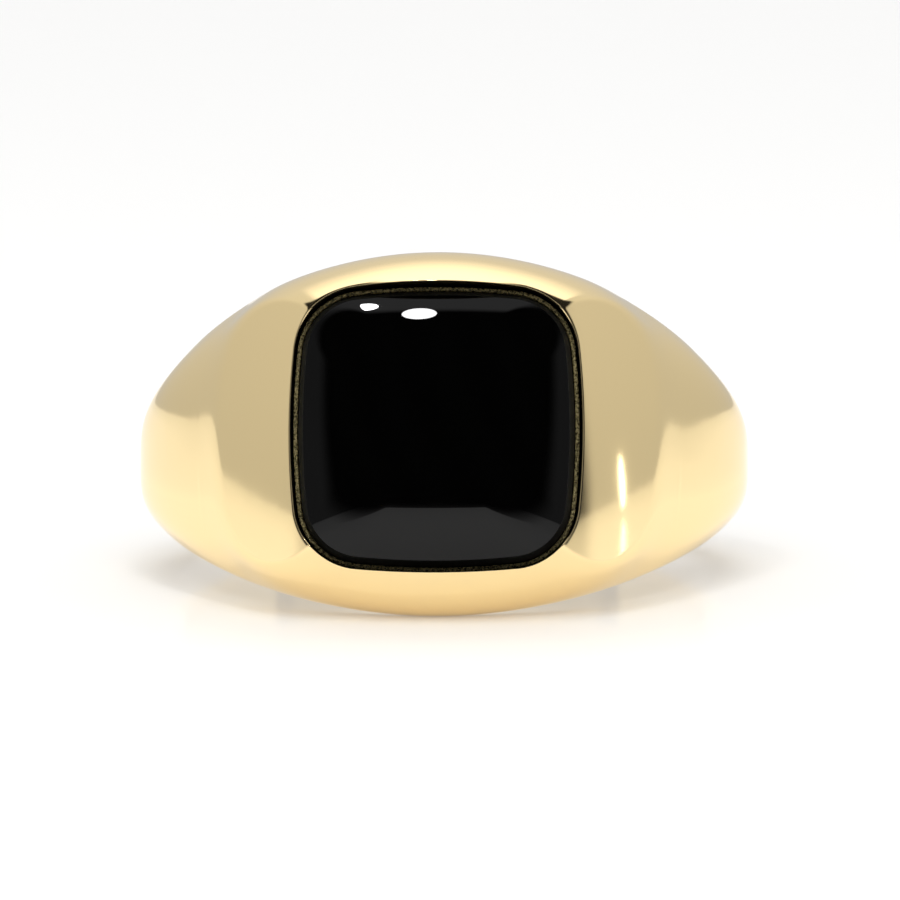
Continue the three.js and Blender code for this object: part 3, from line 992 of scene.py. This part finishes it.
# --- operators
def place_piece(mesh, materials, node):
    """Puts a finished mesh into the scene in place of the faceted part."""
    piece = bpy.data.objects.new(mesh.name, mesh)
    bpy.context.scene.collection.objects.link(piece)
    for material in materials:
        mesh.materials.append(material)
    mesh.set_sharp_from_angle(angle=math.radians(SHARP_ANGLE))
    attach(piece, "root")
    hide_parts(node)
    return piece


class RING_OT_body(bpy.types.Operator):
    """Builds the polished gold body: shank, shoulders, head, recess and gallery window"""

    bl_idname = "signet_ring.body"
    bl_label = "Gold body"

    def execute(self, context):
        mesh = body_mesh(RingForm(context.scene))
        finish = context.scene.ring_finish
        place_piece(mesh, [polished_gold(finish), shaded_recess_gold(finish)], "ring_body")
        return {"FINISHED"}


class RING_OT_stone(bpy.types.Operator):
    """Builds the cushion onyx with its polished dome and ground girdle"""

    bl_idname = "signet_ring.stone"
    bl_label = "Onyx"

    def execute(self, context):
        form = RingForm(context.scene)
        finish = context.scene.ring_finish
        mesh = stone_mesh(form)
        materials = [polished_onyx(finish), ground_onyx(finish)]
        piece = place_piece(mesh, materials, "onyx_stone")
        rows = np.arange(len(mesh.polygons)) // STONE_STEPS_ROUND
        ground = (rows < STONE_GROUND_ROWS) | (rows >= STONE_BASE_ROW)
        piece.data.polygons.foreach_set("material_index", ground.astype(np.int32))
        return {"FINISHED"}


class RING_OT_setting(bpy.types.Operator):
    """Builds the filed bezel strip and the cement under the stone"""

    bl_idname = "signet_ring.setting"
    bl_label = "Bezel and cement"

    def execute(self, context):
        form = RingForm(context.scene)
        finish = context.scene.ring_finish
        place_piece(bezel_mesh(form), [filed_gold(finish)], "bezel")
        place_piece(cement_mesh(form), [set_cement(finish)], "cement_bed")
        return {"FINISHED"}


def panel(name, corners, shade):
    """A flat sheet with these corners, not part of the ring."""
    mesh = bpy.data.meshes.new(name)
    mesh.from_pydata(corners, [], [range(len(corners))])
    mesh.materials.append(shade)
    sheet = bpy.data.objects.new(name, mesh)
    bpy.context.scene.collection.objects.link(sheet)
    return sheet


def tent_light(studio):
    """The white tent as the world.

    Its sides brighten upwards, a brighter sheet leans in behind, and a dark gap parts both from the front.
    """
    world = bpy.data.worlds.new("white_tent")
    bpy.context.scene.world = world
    world.use_nodes = True
    tree = world.node_tree
    direction = add(tree, "ShaderNodeTexCoord").outputs["Generated"]
    x, y, z = add(tree, "ShaderNodeSeparateXYZ", {"Vector": direction}).outputs
    aside = add(tree, "ShaderNodeMath", {0: x}, operation="ABSOLUTE").outputs[0]
    leaning = add(tree, "ShaderNodeMath", {0: z, 1: -SHEET_LEAN, 2: aside}, operation="MULTIPLY_ADD")
    cube = add(tree, "ShaderNodeMath", {0: z, 1: 3}, operation="POWER").outputs[0]
    past = add(tree, "ShaderNodeMath", {0: cube, 1: -SEAM_LEAN, 2: y}, operation="MULTIPLY_ADD")
    steps = [
        (leaning.outputs[0], SHEET_EDGES, (0, 1)),
        (z, SHEET_FOOT, (0, 1)),
        (past.outputs[0], SEAM_EDGES, (0, 1)),
        (aside, SEAM_SIDES, (0, 1)),
        (y, FRONT_EDGES, (0, 1)),
        (z, FRONT_RISE, TENT_FRONT),
    ]
    soft = [
        add(
            tree,
            "ShaderNodeMapRange",
            {"Value": value},
            interpolation_type="SMOOTHSTEP",
            From_Min=start,
            From_Max=end,
            To_Min=low,
            To_Max=high,
        ).outputs[0]
        for value, (start, end), (low, high) in steps
    ]
    within, lifted, before, off_middle, front, front_light = soft
    sides = add(
        tree, "ShaderNodeMapRange", {"Value": z}, From_Max=TENT_TURN, To_Min=TENT_LOW, To_Max=TENT_HIGH
    ).outputs[0]
    sheet = add(tree, "ShaderNodeMath", {0: within, 1: lifted}, operation="MULTIPLY").outputs[0]
    gap = add(tree, "ShaderNodeMath", {0: before, 1: off_middle}, operation="MULTIPLY").outputs[0]
    behind = add(tree, "ShaderNodeMix", {0: sheet, 2: sides, 3: 1}).outputs[0]
    walls = add(tree, "ShaderNodeMix", {0: gap, 2: behind, 3: SEAM_LIGHT}).outputs[0]
    light = add(tree, "ShaderNodeMix", {0: front, 2: walls, 3: front_light})
    strength = add(tree, "ShaderNodeMath", {0: light.outputs[0], 1: studio.tent_light}, operation="MULTIPLY")
    tree.links.new(strength.outputs[0], tree.nodes["Background"].inputs["Strength"])
    tree.nodes["Background"].inputs["Color"].default_value = (1, 1, 1, 1)


def soft_lamp(name, place, power):
    """An elliptical lamp at an azimuth, elevation and distance from the ring, turned towards it."""
    azimuth, elevation, distance, width, height = place
    data = bpy.data.lights.new(name, "AREA")
    data.shape = "ELLIPSE"
    data.size, data.size_y = width, height
    data.energy = power
    lamp = bpy.data.objects.new(name, data)
    bpy.context.scene.collection.objects.link(lamp)
    turn, lift = math.radians(azimuth), math.radians(elevation)
    level = math.cos(lift)
    direction = Vector((math.sin(turn) * level, -math.cos(turn) * level, math.sin(lift)))
    lamp.location = direction * distance
    lamp.rotation_mode = "QUATERNION"
    lamp.rotation_quaternion = direction.to_track_quat("Z", "Y")
    return lamp


def studio_camera(scene):
    """The camera, from its distance and its two small angles off the face's normal."""
    studio = scene.ring_studio
    axes, origin = resting_frame(scene)
    side, down = studio.to_the_right, studio.below_face
    toward = (math.sin(side) * math.cos(down), -math.cos(side) * math.cos(down), -math.sin(down))
    right = (math.cos(side), math.sin(side), 0)
    toward, right = Vector(toward @ axes), Vector(right @ axes)
    up = toward.cross(right)
    middle = Vector(origin)
    data = bpy.data.cameras.new("camera")
    data.sensor_width = 36
    data.lens = studio.lens
    data.clip_start, data.clip_end = 1 * MM, 20
    camera = bpy.data.objects.new("camera", data)
    scene.collection.objects.link(camera)
    place = middle + toward * studio.distance
    aim = middle + right * studio.aim_right + up * studio.aim_up
    camera.matrix_world = look(place, aim, up)
    scene.camera = camera


def look(place, aim, up):
    """The matrix of a camera at place that looks at aim, with up upwards."""
    back = (place - aim).normalized()
    right = up.cross(back).normalized()
    turned = Matrix((right, back.cross(right), back)).transposed()
    return Matrix.Translation(place) @ turned.to_4x4()


class RING_OT_studio(bpy.types.Operator):
    """Sets up the white sheet, the light tent with its dark front opening, the lamps and the camera"""

    bl_idname = "signet_ring.studio"
    bl_label = "Studio"

    def execute(self, context):
        scene = context.scene
        studio = scene.ring_studio
        scene.view_settings.view_transform = "Standard"
        tent_light(studio)
        far = FLOOR_HALF
        floor = [(-far, -far, 0), (far, -far, 0), (far, far, 0), (-far, far, 0)]
        panel("floor", floor, acrylic(scene.ring_finish))
        turn = np.linspace(0, 2 * math.pi, FRONT_CORNERS, endpoint=False)
        across = FRONT_HALF_WIDTH * np.cos(turn)
        up = FRONT_MIDDLE + FRONT_HALF_HEIGHT * np.sin(turn)
        opening = np.column_stack([across, np.full_like(turn, -FRONT_DISTANCE), up])
        reflected_dark_sheet = panel("front_opening", opening.tolist(), dark_reflection_sheet())
        # Painted dark reflection: the sheet is hidden from the camera, from diffuse light and from shadows,
        # and shows only in reflections.
        reflected_dark_sheet.visible_camera = False
        reflected_dark_sheet.visible_diffuse = False
        reflected_dark_sheet.visible_shadow = False
        soft_lamp("overhead", OVERHEAD, studio.floor_light).visible_glossy = False
        for name, place, share in LAMPS:
            soft_lamp(name, place, studio.lamp_power * share)
        studio_camera(scene)
        return {"FINISHED"}


class RING_PT_sidebar(bpy.types.Panel):
    """Lists the steps and the sizes"""

    bl_idname = "RING_PT_sidebar"
    bl_label = "Signet ring"
    bl_space_type = "VIEW_3D"
    bl_region_type = "UI"
    bl_category = "Signet ring"

    def draw(self, context):
        layout = self.layout
        for step in STEPS:
            layout.operator(step.bl_idname)
        for group in GROUPS:
            settings = getattr(context.scene, group)
            box = layout.box()
            box.label(text=settings.bl_rna.name)
            for name in settings.bl_rna.properties.keys():
                if name not in ("rna_type", "name"):
                    box.prop(settings, name)


STEPS = [RING_OT_body, RING_OT_stone, RING_OT_setting, RING_OT_studio]
CLASSES = [*GROUPS.values(), *STEPS, RING_PT_sidebar]


def register():
    for cls in CLASSES:
        bpy.utils.register_class(cls)
    for name, group in GROUPS.items():
        setattr(bpy.types.Scene, name, PointerProperty(type=group))


def unregister():
    for name in GROUPS:
        delattr(bpy.types.Scene, name)
    for cls in reversed(CLASSES):
        bpy.utils.unregister_class(cls)


def main():
    register()
    bpy.ops.signet_ring.body()
    bpy.ops.signet_ring.stone()
    bpy.ops.signet_ring.setting()
    bpy.ops.signet_ring.studio()
    bpy.context.view_layer.update()


if __name__ == "__main__":
    main()
